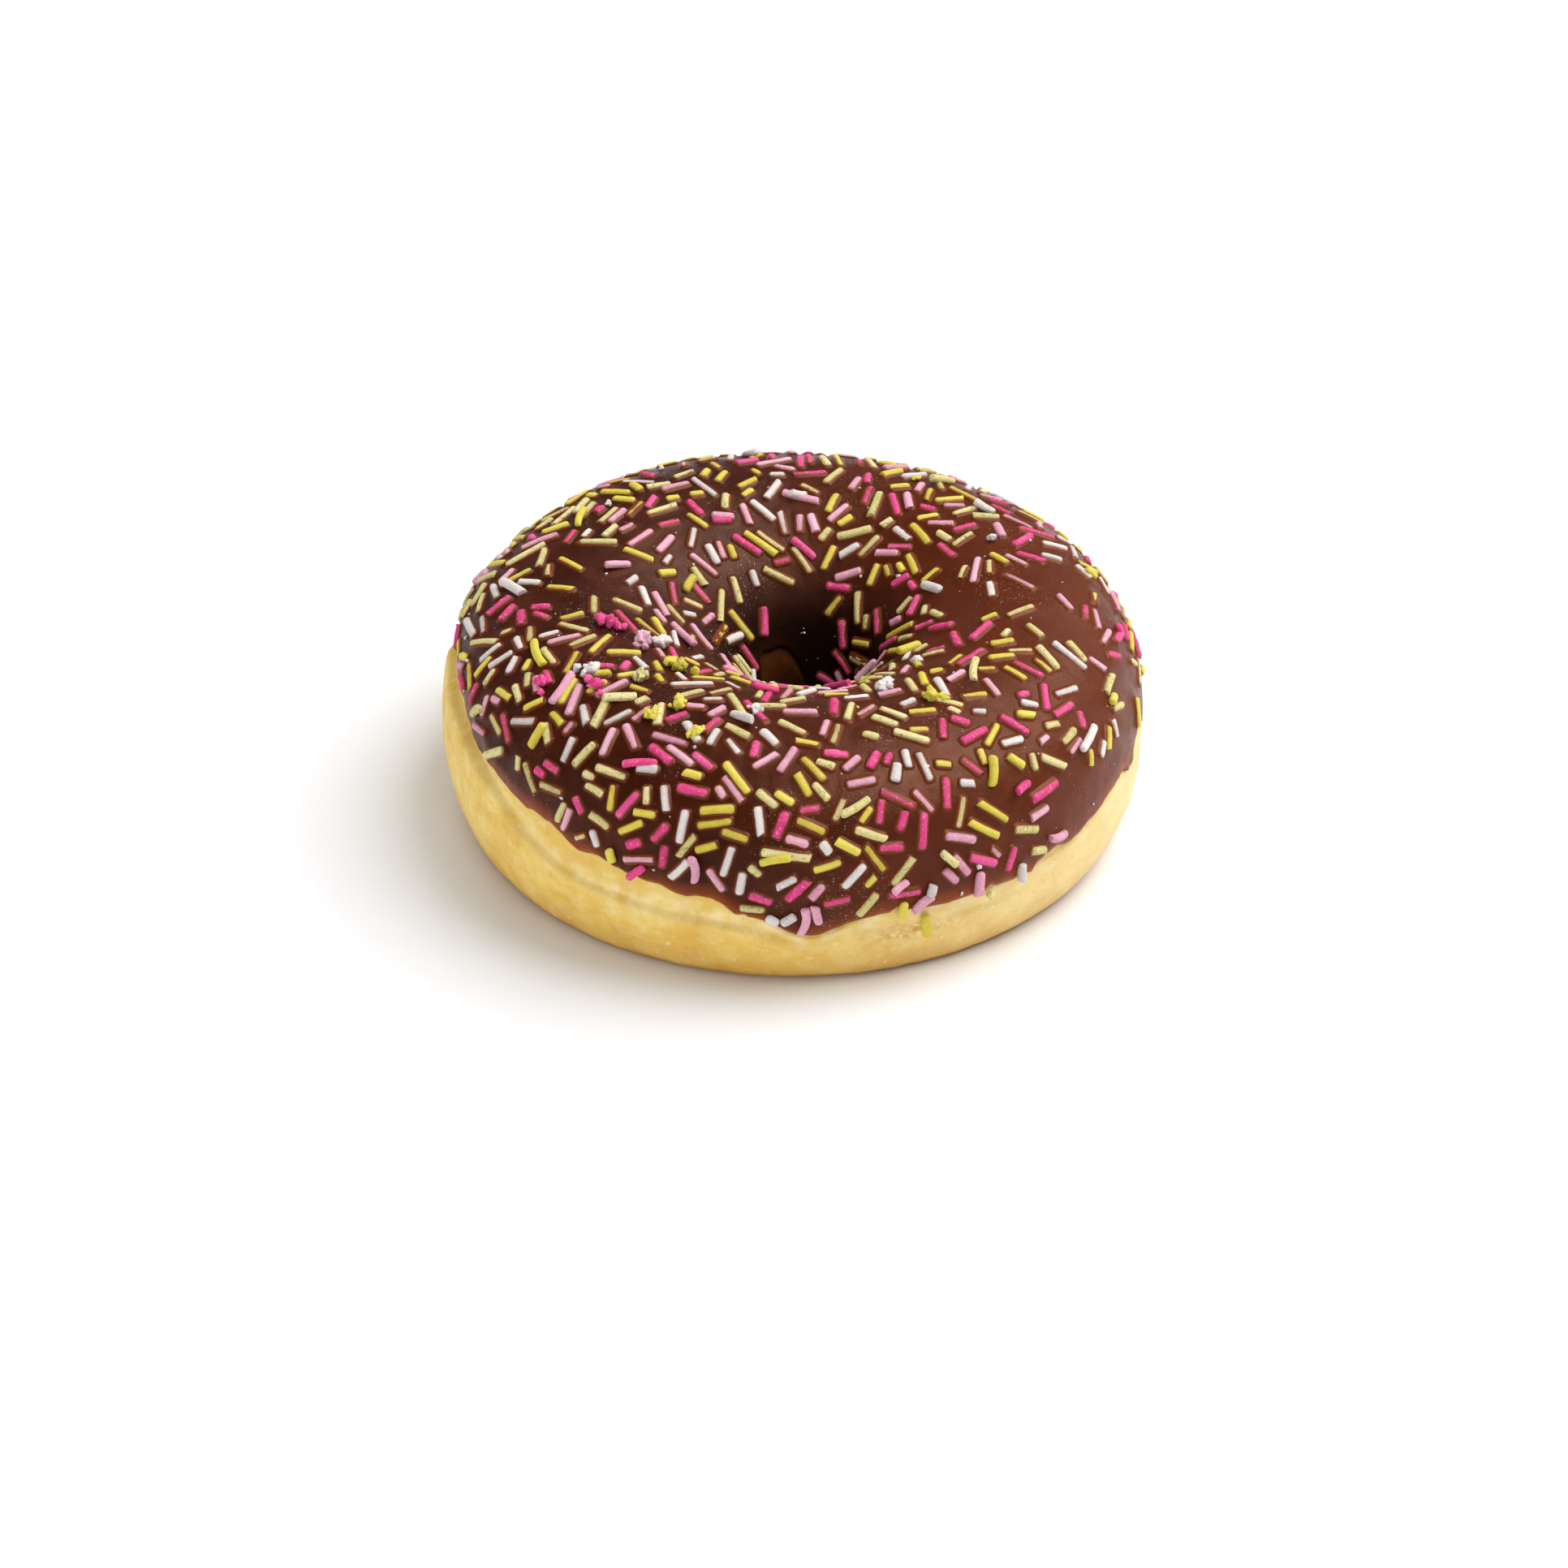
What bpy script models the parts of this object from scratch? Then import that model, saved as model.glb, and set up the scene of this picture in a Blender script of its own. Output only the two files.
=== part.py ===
"""A ring doughnut: a fried dough ring, and on it a coat of chocolate icing with sugar sprinkles fused to it.

The origin is on the surface that the doughnut rests on, at the middle of its outline. +Z is up, and -Y is the
side that faces the viewer. Run it with blender --background --python part.py, or from the text editor.
"""

import math
import random

import bmesh
import bpy
import numpy as np
from mathutils import Matrix, Vector

MM = 0.001

# The ring's section, from the foot on the table out to the belly, over the crown and down the hole
OUTER_RADIUS = 48.0 * MM
BELLY_HEIGHT = 11.5 * MM
FOOT_RADIUS = 43.6 * MM
CROWN_RADIUS = 29.5 * MM
CROWN_HEIGHT = 32.5 * MM
THROAT_RADIUS = 6.6 * MM
THROAT_HEIGHT = 14.0 * MM
INNER_FOOT_RADIUS = 16.0 * MM
LOWER_POWER = 1.6
SHOULDER_POWER = 2.45
FUNNEL_POWER = 1.7
HOLE_SHIFT = Vector((1.9 * MM, -0.3 * MM, 0))

# The crease round the outside, above which the dough steps back
CREASE_HEIGHT = 8.7 * MM
CREASE_BLEND = 1.2 * MM
CREASE_STEP = 0.95 * MM
GROOVE_DEPTH = 0.3 * MM
GROOVE_WIDTH = 0.9 * MM
TEAR_DEPTH = 0.6 * MM

# The icing, which thins towards its two edges
ICING_THICKNESS = 1.15 * MM
LIP_SHARE = 0.4
LIP_LENGTH = 4.0 * MM
GAP = 0.3 * MM
SEAT_LENGTH = 1.2 * MM
OUTER_EDGE_HEIGHT = 17.6 * MM
INNER_EDGE_HEIGHT = 12.0 * MM

# The sprinkles
SPRINKLES = 208
SPRINKLE_RADIUS = 0.64 * MM
SPRINKLE_SIDES = 5
LONGEST_SPRINKLE = 6.0 * MM
SHORTEST_SPRINKLE = 3.2 * MM
SPRINKLE_RISE = 0.22 * MM
SPRINKLE_SPACING = 1.7 * MM
EDGE_MARGIN = 1.8 * MM
DRAWS = 24
SEED = 7

# How finely the solids are divided
TURNS = 60
ROWS_BELOW = 6
ICING_ROWS = 16
ROWS_INSIDE = 4
BEND_WEIGHT = 14 * MM
SAMPLES = 400


def ring_wave(a, mean, *waves):
    """The mean and, round the ring, waves of (height, number of turns, degrees at which the crest lies)."""
    return mean + sum(h * np.cos(n * (a - math.radians(at))) for h, n, at in waves)


def hump(a, at, width, power=2):
    """1 at one azimuth, falling off to 0 either side: the higher the power, the flatter its top. Both the
    azimuth and the width are in degrees."""
    away = (np.degrees(a) - at + 180) % 360 - 180
    return np.exp(-((away / width) ** power))


def smooth_step(x):
    x = np.clip(x, 0, 1)
    return x * x * (3 - 2 * x)


def outer_radius(a):
    waves = ((0.45 * MM, 1, 80), (0.45 * MM, 2, 145), (0.15 * MM, 3, 30), (0.12 * MM, 7, 15))
    return ring_wave(a, OUTER_RADIUS, *waves)


def crown_height(a):
    return ring_wave(a, CROWN_HEIGHT, (1.4 * MM, 1, 90), (0.3 * MM, 3, 10))


def crease_height(a):
    """Low all round, but on the left, where it climbs to just under the icing's edge."""
    climb = 13.5 * MM * hump(a, -172, 30)
    free = ring_wave(a, CREASE_HEIGHT, (0.7 * MM, 2, 20), (0.3 * MM, 5, 40)) + climb
    return np.minimum(free, outer_edge_height(a) - CREASE_BLEND - SEAT_LENGTH)


def crease_step(a):
    """Deepest on the left, and all but gone on the right and at the back."""
    return CREASE_STEP * (0.25 + 0.75 * hump(a, -100, 50) + 1.3 * hump(a, -175, 35))


def outer_edge_height(a):
    """Where the icing ends on the outside: low in front, where it also runs down in a drip."""
    waves = ((4.5 * MM, 1, 121), (2.2 * MM, 2, 9), (0.3 * MM, 7, 30), (0.2 * MM, 13, 5))
    return ring_wave(a, OUTER_EDGE_HEIGHT, *waves) - 2.6 * MM * hump(a, -87, 6)


def inner_edge_height(a):
    return ring_wave(a, INNER_EDGE_HEIGHT, (0.5 * MM, 3, 0)) + 6.6 * MM * hump(a, 124, 33, 4)


def skin(a, s):
    """Points of the doughnut's outside at azimuth a. s is 0 at the foot, 1 at the belly, 2 at the crown,
    3 at the hole's throat and 4 at the foot inside the hole."""
    a, s = np.broadcast_arrays(np.asarray(a, float), np.asarray(s, float))
    quarter = np.clip(s.astype(int), 0, 3)
    turn = (s - quarter) * math.pi / 2
    sine, cosine = np.clip(np.sin(turn), 0, 1), np.clip(np.cos(turn), 0, 1)
    low, high, inner = 2 / LOWER_POWER, 2 / SHOULDER_POWER, 2 / FUNNEL_POWER
    belly, crown = outer_radius(a), crown_height(a)
    r = np.choose(
        quarter,
        [
            FOOT_RADIUS + (belly - FOOT_RADIUS) * sine**low,
            CROWN_RADIUS + (belly - CROWN_RADIUS) * cosine**high,
            CROWN_RADIUS - (CROWN_RADIUS - THROAT_RADIUS) * sine**inner,
            INNER_FOOT_RADIUS - (INNER_FOOT_RADIUS - THROAT_RADIUS) * cosine,
        ],
    )
    z = np.choose(
        quarter,
        [
            BELLY_HEIGHT * (1 - cosine**low),
            BELLY_HEIGHT + (crown - BELLY_HEIGHT) * sine**high,
            THROAT_HEIGHT + (crown - THROAT_HEIGHT) * cosine**inner,
            THROAT_HEIGHT * (1 - sine),
        ],
    )
    shift = smooth_step((s - 1.5) / 1.5)
    return np.stack(
        [r * np.cos(a) + shift * HOLE_SHIFT.x, r * np.sin(a) + shift * HOLE_SHIFT.y, z], axis=-1
    )


def skin_normal(a, s):
    step = 1e-4
    along_a = skin(a + step, s) - skin(a - step, s)
    along_s = skin(a, np.minimum(s + step, 4)) - skin(a, np.maximum(s - step, 0))
    normal = np.cross(along_a, along_s)
    return normal / np.linalg.norm(normal, axis=-1, keepdims=True)


def thickness_share(a, s, z):
    """The icing's thickness as a share of the full one: a lip at each edge, rising over LIP_LENGTH."""
    edge = np.where(s < 2, outer_edge_height(a), inner_edge_height(a))
    return LIP_SHARE + (1 - LIP_SHARE) * smooth_step((z - edge) / LIP_LENGTH)


def dough_inset(a, s, z):
    """How far the dough lies under the skin: a step above the crease, and a seat where the icing lies."""
    above = z - crease_height(a)
    groove = GROOVE_DEPTH * crease_step(a) / CREASE_STEP + TEAR_DEPTH * hump(a, -70, 5)
    crease = smooth_step(above / CREASE_BLEND) * crease_step(a) + groove * np.exp(-((above / GROOVE_WIDTH) ** 2))
    edge = np.where(s < 2, outer_edge_height(a), inner_edge_height(a))
    seat = smooth_step((z - edge) / SEAT_LENGTH + 1) * (GAP + ICING_THICKNESS * thickness_share(a, s, z))
    return np.maximum(seat, np.where(s < 2, crease, 0))


def dough_point(a, s):
    point = skin(a, s)
    return point - dough_inset(a, s, point[..., 2])[..., None] * skin_normal(a, s)


def icing_point(a, s):
    """The icing's outer face, one thickness and the gap out from the dough."""
    point = skin(a, s)
    z = point[..., 2]
    rise = GAP + ICING_THICKNESS * thickness_share(a, s, z)
    return point - (dough_inset(a, s, z) - rise)[..., None] * skin_normal(a, s)


def evenly_along(a, first, last, count):
    """Values of s between first and last at one azimuth: evenly spaced, but closer where the skin bends."""
    s = np.linspace(first, last, SAMPLES)
    moves = np.diff(skin(np.full(SAMPLES, a), s), axis=0)
    steps = np.linalg.norm(moves, axis=1)
    bends = np.linalg.norm(np.diff(moves / steps[:, None], axis=0), axis=1)
    measure = np.concatenate([[0], np.cumsum(steps + BEND_WEIGHT * np.concatenate([[0], bends]))])
    return np.interp(np.linspace(0, measure[-1], count), measure, s)


def s_at_height(a, height, first, last):
    s = np.linspace(first, last, SAMPLES)
    z = skin(np.full(SAMPLES, a), s)[:, 2]
    order = np.argsort(z)
    return float(np.interp(height, z[order], s[order]))


def icing_edges(a):
    outer = s_at_height(a, float(outer_edge_height(np.float64(a))), 0, 2)
    inner = s_at_height(a, float(inner_edge_height(np.float64(a))), 2, 4)
    return outer, inner


def material(name, colour, roughness):
    made = bpy.data.materials.new(name)
    made.use_nodes = True
    shader = made.node_tree.nodes["Principled BSDF"]
    shader.inputs["Base Color"].default_value = (*colour, 1)
    shader.inputs["Roughness"].default_value = roughness
    shader.inputs["Metallic"].default_value = 0
    return made


def ring_object(name, turns, rows, place, collection):
    """A torus primitive with its vertices moved: place gives one turn's points, row by row."""
    bpy.ops.mesh.primitive_torus_add(major_segments=turns, minor_segments=rows)
    made = bpy.context.object
    made.name = made.data.name = name
    for other in made.users_collection:
        other.objects.unlink(made)
    collection.objects.link(made)
    for turn in range(turns):
        for row, point in enumerate(place(2 * math.pi * turn / turns)):
            made.data.vertices[turn * rows + row].co = point
    return made


def make_dough(collection):
    """The dough: rows up to the crease, rows for the crease and the icing's seat, the icing's own rows, and
    rows down inside the hole. The torus's last row of faces closes it underneath."""
    dough_rows = ROWS_BELOW + 3 + ICING_ROWS + ROWS_INSIDE

    def place(a):
        crease = float(crease_height(np.float64(a)))
        outer, inner = icing_edges(a)
        seat = float(outer_edge_height(np.float64(a))) - SEAT_LENGTH
        below = evenly_along(a, 0, s_at_height(a, crease - GROOVE_WIDTH, 0, 2), ROWS_BELOW)
        steps = [s_at_height(a, height, 0, 2) for height in (crease, crease + CREASE_BLEND, seat)]
        under_icing = evenly_along(a, outer, inner, ICING_ROWS)
        inside = evenly_along(a, inner, 4, ROWS_INSIDE + 1)[1:]
        return dough_point(np.full(dough_rows, a), np.concatenate([below, steps, under_icing, inside]))

    dough = ring_object("dough", TURNS, dough_rows, place, collection)
    dough.data.materials.append(material("fried_dough", (0.78, 0.56, 0.22), 0.6))
    return dough


def make_icing(collection):
    """The icing without sprinkles: an open band over the crown, given its thickness inwards."""
    shares = {}

    def place(a):
        outer, inner = icing_edges(a)
        s = evenly_along(a, outer, inner, ICING_ROWS)
        turns = np.full(ICING_ROWS, a)
        shares[a] = thickness_share(turns, s, skin(turns, s)[:, 2])
        return icing_point(turns, s)

    icing = ring_object("icing", TURNS, ICING_ROWS, place, collection)
    depth = icing.vertex_groups.new(name="depth")
    for number, share in enumerate(np.concatenate(list(shares.values()))):
        depth.add([number], float(share), "REPLACE")
    band = bmesh.new()
    band.from_mesh(icing.data)
    closing = [f for f in band.faces if {v.index % ICING_ROWS for v in f.verts} == {0, ICING_ROWS - 1}]
    bmesh.ops.delete(band, geom=closing, context="FACES_ONLY")
    bmesh.ops.recalc_face_normals(band, faces=band.faces)
    band.to_mesh(icing.data)
    band.free()

    shell = icing.modifiers.new("thickness", "SOLIDIFY")
    shell.thickness = ICING_THICKNESS
    shell.offset = -1
    shell.vertex_group = depth.name
    shell.use_even_offset = False
    icing.data.materials.append(material("chocolate_icing", (0.05, 0.018, 0.012), 0.38))
    return icing


def axis_distance(p, q):
    """The least distance between two sprinkles' axes, at five points of each."""
    steps = np.linspace(0, 1, 5)[:, None]
    first = p[0] + (p[1] - p[0]) * steps
    second = q[0] + (q[1] - q[0]) * steps
    return np.linalg.norm(first[:, None] - second[None], axis=2).min()


def drawn_axis(draw, length):
    """The two ends of a sprinkle laid on the icing at a place and heading drawn at random, or None where it
    would cross an edge, or where the draw is refused so that each patch of icing gets its share."""
    a = draw.uniform(0, 2 * math.pi)
    s = draw.uniform(0.9, 3.1)
    heading = draw.uniform(0, math.pi)
    chance = draw.random()
    middle = icing_point(np.float64(a), np.float64(s))
    step = 0.01
    per_s = np.linalg.norm(skin(a, s + step) - skin(a, s - step)) / (2 * step)
    per_a = float(np.hypot(middle[0] - HOLE_SHIFT.x, middle[1] - HOLE_SHIFT.y))
    if chance * 1.7 * CROWN_RADIUS**2 > per_s * per_a:
        return None
    da = math.cos(heading) * length / 2 / per_a
    ds = math.sin(heading) * length / 2 / per_s
    turns = np.array([a - da, a + da])
    along = np.array([s - ds, s + ds])
    ends = icing_point(turns, along)
    for turn, s_end, end in zip(turns, along, ends):
        edge = outer_edge_height(turn) if s_end < 2 else inner_edge_height(turn)
        if end[2] < edge + EDGE_MARGIN:
            return None
    lift = (middle - ends.mean(axis=0)) / 2 + SPRINKLE_RISE * skin_normal(np.float64(a), np.float64(s))
    return ends + lift


def sprinkle_axes():
    """Each sprinkle's two ends, the longest first. Each is the draw, out of several, that lies farthest from
    the rest, so that they spread evenly."""
    draw = random.Random(SEED)
    placed = []
    for n in range(SPRINKLES):
        length = LONGEST_SPRINKLE + (SHORTEST_SPRINKLE - LONGEST_SPRINKLE) * (n / SPRINKLES) ** 0.6
        drawn = [drawn_axis(draw, length) for _ in range(DRAWS)]
        drawn = [axis for axis in drawn if axis is not None]
        if not placed:
            placed.append(drawn[0])
            continue
        middles = np.array([axis.mean(axis=0) for axis in placed])
        room = [np.linalg.norm(middles - axis.mean(axis=0), axis=1).min() for axis in drawn]
        for pick in np.argsort(room)[::-1]:
            if all(axis_distance(drawn[pick], other) > SPRINKLE_SPACING for other in placed):
                placed.append(drawn[pick])
                break
    return placed


def make_sprinkle(number, ends, roll, collection):
    start, end = Vector(ends[0]), Vector(ends[1])
    rod = bmesh.new()
    bmesh.ops.create_cone(
        rod,
        cap_ends=True,
        segments=SPRINKLE_SIDES,
        radius1=SPRINKLE_RADIUS,
        radius2=SPRINKLE_RADIUS,
        depth=(end - start).length,
    )
    mesh = bpy.data.meshes.new(f"sprinkle_{number}")
    rod.to_mesh(mesh)
    rod.free()
    made = bpy.data.objects.new(mesh.name, mesh)
    turn = (end - start).to_track_quat("Z", "Y").to_matrix().to_4x4()
    made.matrix_world = Matrix.Translation((start + end) / 2) @ turn @ Matrix.Rotation(roll, 4, "Z")
    collection.objects.link(made)


def fuse(base, collection):
    """Joins the collection's objects to base with one Boolean union, applies it, and removes them."""
    union = base.modifiers.new("fuse", "BOOLEAN")
    union.operation = "UNION"
    union.operand_type = "COLLECTION"
    union.collection = collection
    union.solver = "MANIFOLD"
    graph = bpy.context.evaluated_depsgraph_get()
    fused = bpy.data.meshes.new_from_object(base.evaluated_get(graph))
    base.modifiers.clear()
    base.data = fused
    for other in list(collection.objects):
        bpy.data.objects.remove(other)
    bpy.data.collections.remove(collection)


def main():
    for old in list(bpy.data.objects):
        bpy.data.objects.remove(old)
    doughnut = bpy.data.collections.new("ring_doughnut")
    bpy.context.scene.collection.children.link(doughnut)
    dough = make_dough(doughnut)
    icing = make_icing(doughnut)
    sprinkles = bpy.data.collections.new("sprinkles")
    bpy.context.scene.collection.children.link(sprinkles)
    draw = random.Random(SEED)
    for number, ends in enumerate(sprinkle_axes()):
        make_sprinkle(number, ends, draw.uniform(0, math.pi), sprinkles)
    fuse(icing, sprinkles)
    for made in (dough, icing):
        made.data.shade_smooth()
        made.data.set_sharp_from_angle(angle=math.radians(35))


main()
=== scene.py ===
"""The looks of the ring doughnut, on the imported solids: fine dough, fine icing and every sprinkle."""

import math
import random

import bmesh
import bpy
import numpy as np
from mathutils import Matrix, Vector, kdtree, noise


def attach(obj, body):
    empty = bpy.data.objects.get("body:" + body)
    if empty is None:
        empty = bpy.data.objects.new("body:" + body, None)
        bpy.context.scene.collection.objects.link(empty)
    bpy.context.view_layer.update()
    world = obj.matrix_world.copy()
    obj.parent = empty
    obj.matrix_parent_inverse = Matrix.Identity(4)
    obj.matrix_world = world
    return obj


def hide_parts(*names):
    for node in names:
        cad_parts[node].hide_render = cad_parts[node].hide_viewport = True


MM = 0.001

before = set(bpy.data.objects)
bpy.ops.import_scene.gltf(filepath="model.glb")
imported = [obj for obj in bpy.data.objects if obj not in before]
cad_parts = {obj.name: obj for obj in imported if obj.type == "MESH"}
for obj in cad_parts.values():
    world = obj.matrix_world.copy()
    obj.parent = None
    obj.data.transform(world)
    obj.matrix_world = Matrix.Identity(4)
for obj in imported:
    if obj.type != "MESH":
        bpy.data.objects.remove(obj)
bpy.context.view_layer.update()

# The ring's section, as in the solids
OUTER_RADIUS = 48.0 * MM
BELLY_HEIGHT = 11.5 * MM
FOOT_RADIUS = 43.6 * MM
CROWN_RADIUS = 29.5 * MM
CROWN_HEIGHT = 32.5 * MM
THROAT_RADIUS = 6.6 * MM
THROAT_HEIGHT = 14.0 * MM
INNER_FOOT_RADIUS = 16.0 * MM
LOWER_POWER = 1.6
SHOULDER_POWER = 2.45
FUNNEL_POWER = 1.7
HOLE_SHIFT = (1.9 * MM, -0.3 * MM)
CREASE_HEIGHT = 8.7 * MM
CREASE_BLEND = 1.2 * MM
CREASE_STEP = 0.95 * MM
GROOVE_WIDTH = 0.9 * MM
ICING_THICKNESS = 1.15 * MM
LIP_SHARE = 0.4
LIP_LENGTH = 4.0 * MM
GAP = 0.3 * MM
SEAT_LENGTH = 1.2 * MM
OUTER_EDGE_HEIGHT = 17.6 * MM
INNER_EDGE_HEIGHT = 12.0 * MM
DRIP_AZIMUTH = -87
DRIP_LENGTH = 2.6 * MM

# The fine surfaces
DOUGH_TURNS = 640
ICING_TURNS = 640
ICING_ROWS = 138
SAMPLES = 400
BEND_WEIGHT = 4 * MM
UNDULATION = 0.13 * MM
SWELL = 0.1 * MM
SWELL_START, SWELL_REACH = 0.6 * MM, 0.9 * MM
EDGE_RAGGEDNESS = 0.5 * MM
LIP_ROUNDING = 0.55 * MM
LIP_DROP = 0.36 * MM
TUCK = 0.06
GROOVE_DEPTH = 0.18 * MM
TEAR_AZIMUTH = -70
TEAR_DEPTH = 0.6 * MM
CRACK_AZIMUTH = -128
CRACK_DEPTH = 0.45 * MM
# Far down in the hole shade is painted on the icing: it starts at this s and comes in fully over the
# next.
HOLE_SHADE_START = 2.35
HOLE_SHADE_FADE = 0.4

# The sprinkles. SPRINKLE_GAP is in radii, from axis to axis, and AXIS_HEIGHT and TILT are in mm.
TRIALS = 90000
SPRINKLE_GAP = 1.85
SPRINKLE_RADIUS = 0.61 * MM
SPRINKLE_SIDES = 12
MEAN_LENGTH = 3.9 * MM
LENGTH_SPREAD = 1.0 * MM
SHORTEST, LONGEST = 1.9 * MM, 6.4 * MM
AXIS_HEIGHT = (-0.06, 0.16)
TILT = 0.1
EDGE_MARGIN = 1.0 * MM
NEIGHBOURHOOD = 8 * MM
ON_TOP_SHARE = 0.022
ICED_S = (0.72, 3.3)
SPECKS = 260

# The film of icing on a sprinkle's foot is full up to FILM_TOP, and FILM_FADE farther up it ends
FILM_TOP, FILM_FADE = 0.17 * MM, 0.43 * MM

# The rim of icing round a sprinkle, from inside to outside: mm outside its footprint, height in mm, and
# how much of the rim's colour it has. The footprint is FOOTPRINT times as wide as the sprinkle.
FOOTPRINT = 0.96
COLLAR = ((-0.12, 0.25, 1.0), (0.03, 0.2, 1.0), (0.14, 0.1, 0.45), (0.42, -0.06, 0.0))

SEED = 11


# Shape of the ring


def ring_wave(a, mean, *waves):
    return mean + sum(h * np.cos(n * (a - math.radians(at))) for h, n, at in waves)


def hump(a, at, width, power=2):
    away = (np.degrees(a) - at + 180) % 360 - 180
    return np.exp(-((away / width) ** power))


def bell(x):
    return np.exp(-(x**2))


def smooth_step(x):
    x = np.clip(x, 0, 1)
    return x * x * (3 - 2 * x)


def outer_radius(a):
    waves = ((0.45 * MM, 1, 80), (0.45 * MM, 2, 145), (0.15 * MM, 3, 30), (0.12 * MM, 7, 15))
    return ring_wave(a, OUTER_RADIUS, *waves)


def crown_height(a):
    return ring_wave(a, CROWN_HEIGHT, (1.4 * MM, 1, 90), (0.3 * MM, 3, 10))


def crease_height(a):
    climb = 13.5 * MM * hump(a, -172, 30)
    free = ring_wave(a, CREASE_HEIGHT, (0.7 * MM, 2, 20), (0.3 * MM, 5, 40)) + climb
    return np.minimum(free, outer_edge_height(a) - CREASE_BLEND - SEAT_LENGTH)


def crease_step(a):
    return CREASE_STEP * (0.25 + 0.75 * hump(a, -100, 50) + 1.3 * hump(a, -175, 35))


def outer_edge_height(a):
    waves = ((4.5 * MM, 1, 121), (2.2 * MM, 2, 9), (0.3 * MM, 7, 30), (0.2 * MM, 13, 5))
    return ring_wave(a, OUTER_EDGE_HEIGHT, *waves) - DRIP_LENGTH * hump(a, DRIP_AZIMUTH, 6)


def inner_edge_height(a):
    return ring_wave(a, INNER_EDGE_HEIGHT, (0.5 * MM, 3, 0)) + 6.6 * MM * hump(a, 124, 33, 4)


def hole_shift(s):
    """How far the side of the hole is moved, as x and y."""
    share = smooth_step((s - 1.5) / 1.5)
    return share * HOLE_SHIFT[0], share * HOLE_SHIFT[1]


def skin(a, s):
    """The doughnut's outside at azimuth a. s is 0 at the foot, 1 at the belly, 2 at the crown, 3 at the
    hole's throat and 4 at the foot inside the hole."""
    a, s = np.broadcast_arrays(np.asarray(a, float), np.asarray(s, float))
    quarter = np.clip(s.astype(int), 0, 3)
    turn = (s - quarter) * math.pi / 2
    sine, cosine = np.clip(np.sin(turn), 0, 1), np.clip(np.cos(turn), 0, 1)
    low, high, inner = 2 / LOWER_POWER, 2 / SHOULDER_POWER, 2 / FUNNEL_POWER
    belly, crown = outer_radius(a), crown_height(a)
    r = np.choose(
        quarter,
        [
            FOOT_RADIUS + (belly - FOOT_RADIUS) * sine**low,
            CROWN_RADIUS + (belly - CROWN_RADIUS) * cosine**high,
            CROWN_RADIUS - (CROWN_RADIUS - THROAT_RADIUS) * sine**inner,
            INNER_FOOT_RADIUS - (INNER_FOOT_RADIUS - THROAT_RADIUS) * cosine,
        ],
    )
    z = np.choose(
        quarter,
        [
            BELLY_HEIGHT * (1 - cosine**low),
            BELLY_HEIGHT + (crown - BELLY_HEIGHT) * sine**high,
            THROAT_HEIGHT + (crown - THROAT_HEIGHT) * cosine**inner,
            THROAT_HEIGHT * (1 - sine),
        ],
    )
    dx, dy = hole_shift(s)
    return np.stack([r * np.cos(a) + dx, r * np.sin(a) + dy, z], axis=-1)


def skin_normal(a, s):
    step = 1e-4
    along_a = skin(a + step, s) - skin(a - step, s)
    along_s = skin(a, np.minimum(s + step, 4)) - skin(a, np.maximum(s - step, 0))
    normal = np.cross(along_a, along_s)
    return normal / np.linalg.norm(normal, axis=-1, keepdims=True)


def edge_height(a, s):
    return np.where(s < 2, outer_edge_height(a), inner_edge_height(a))


def thickness_share(a, s, z):
    return LIP_SHARE + (1 - LIP_SHARE) * smooth_step((z - edge_height(a, s)) / LIP_LENGTH)


def dough_inset(a, s, z):
    """How far the dough lies under the skin: a step above the crease, and a seat where the icing lies."""
    above = z - crease_height(a)
    groove = GROOVE_DEPTH / CREASE_STEP * bell(above / GROOVE_WIDTH)
    crease = crease_step(a) * (smooth_step(above / CREASE_BLEND) + groove)
    crease *= 1 - 0.7 * hump(a, DRIP_AZIMUTH, 9)
    seat = smooth_step((z - edge_height(a, s)) / SEAT_LENGTH + 1)
    return np.maximum(
        seat * (GAP + ICING_THICKNESS * thickness_share(a, s, z)), np.where(s < 2, crease, 0)
    )


def icing_point(a, s):
    point = skin(a, s)
    z = point[..., 2]
    rise = GAP + ICING_THICKNESS * thickness_share(a, s, z)
    return point - (dough_inset(a, s, z) - rise)[..., None] * skin_normal(a, s)


def evenly_along(a, first, last, count):
    """Values of s between first and last at one azimuth: even, but closer where the skin bends."""
    s = np.linspace(first, last, SAMPLES)
    moves = np.diff(skin(np.full(SAMPLES, a), s), axis=0)
    steps = np.linalg.norm(moves, axis=1)
    bends = np.linalg.norm(np.diff(moves / steps[:, None], axis=0), axis=1)
    measure = np.concatenate([[0], np.cumsum(steps + BEND_WEIGHT * np.concatenate([[0], bends]))])
    return np.interp(np.linspace(0, measure[-1], count), measure, s)


def s_at_height(a, height, first, last):
    s = np.linspace(first, last, SAMPLES)
    z = skin(np.full(SAMPLES, a), s)[:, 2]
    order = np.argsort(z)
    return float(np.interp(height, z[order], s[order]))


def icing_edges(a):
    outer = s_at_height(a, float(outer_edge_height(np.float64(a))), 0, 2)
    inner = s_at_height(a, float(inner_edge_height(np.float64(a))), 2, 4)
    return outer, inner


def hole_shade_share(s):
    """1 far down in the hole, where shade is painted on the icing."""
    return smooth_step((s - HOLE_SHADE_START) / HOLE_SHADE_FADE)


# Noise and meshes


def lumps(points, size, octaves=3, offset=0.0):
    """Smooth noise, about -1 to 1, whose lumps are size metres across."""
    shift = Vector((offset, offset * 1.7, offset * 0.3))
    return np.array([noise.fractal(Vector(p) / size + shift, 1.0, 2.0, octaves) for p in points])


def around(turns, radius, size, offset):
    """Smooth noise along a circle, so that its ends meet."""
    circle = [(math.cos(t) * radius, math.sin(t) * radius, 0) for t in turns]
    return lumps(circle, size, 3, offset)


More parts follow.
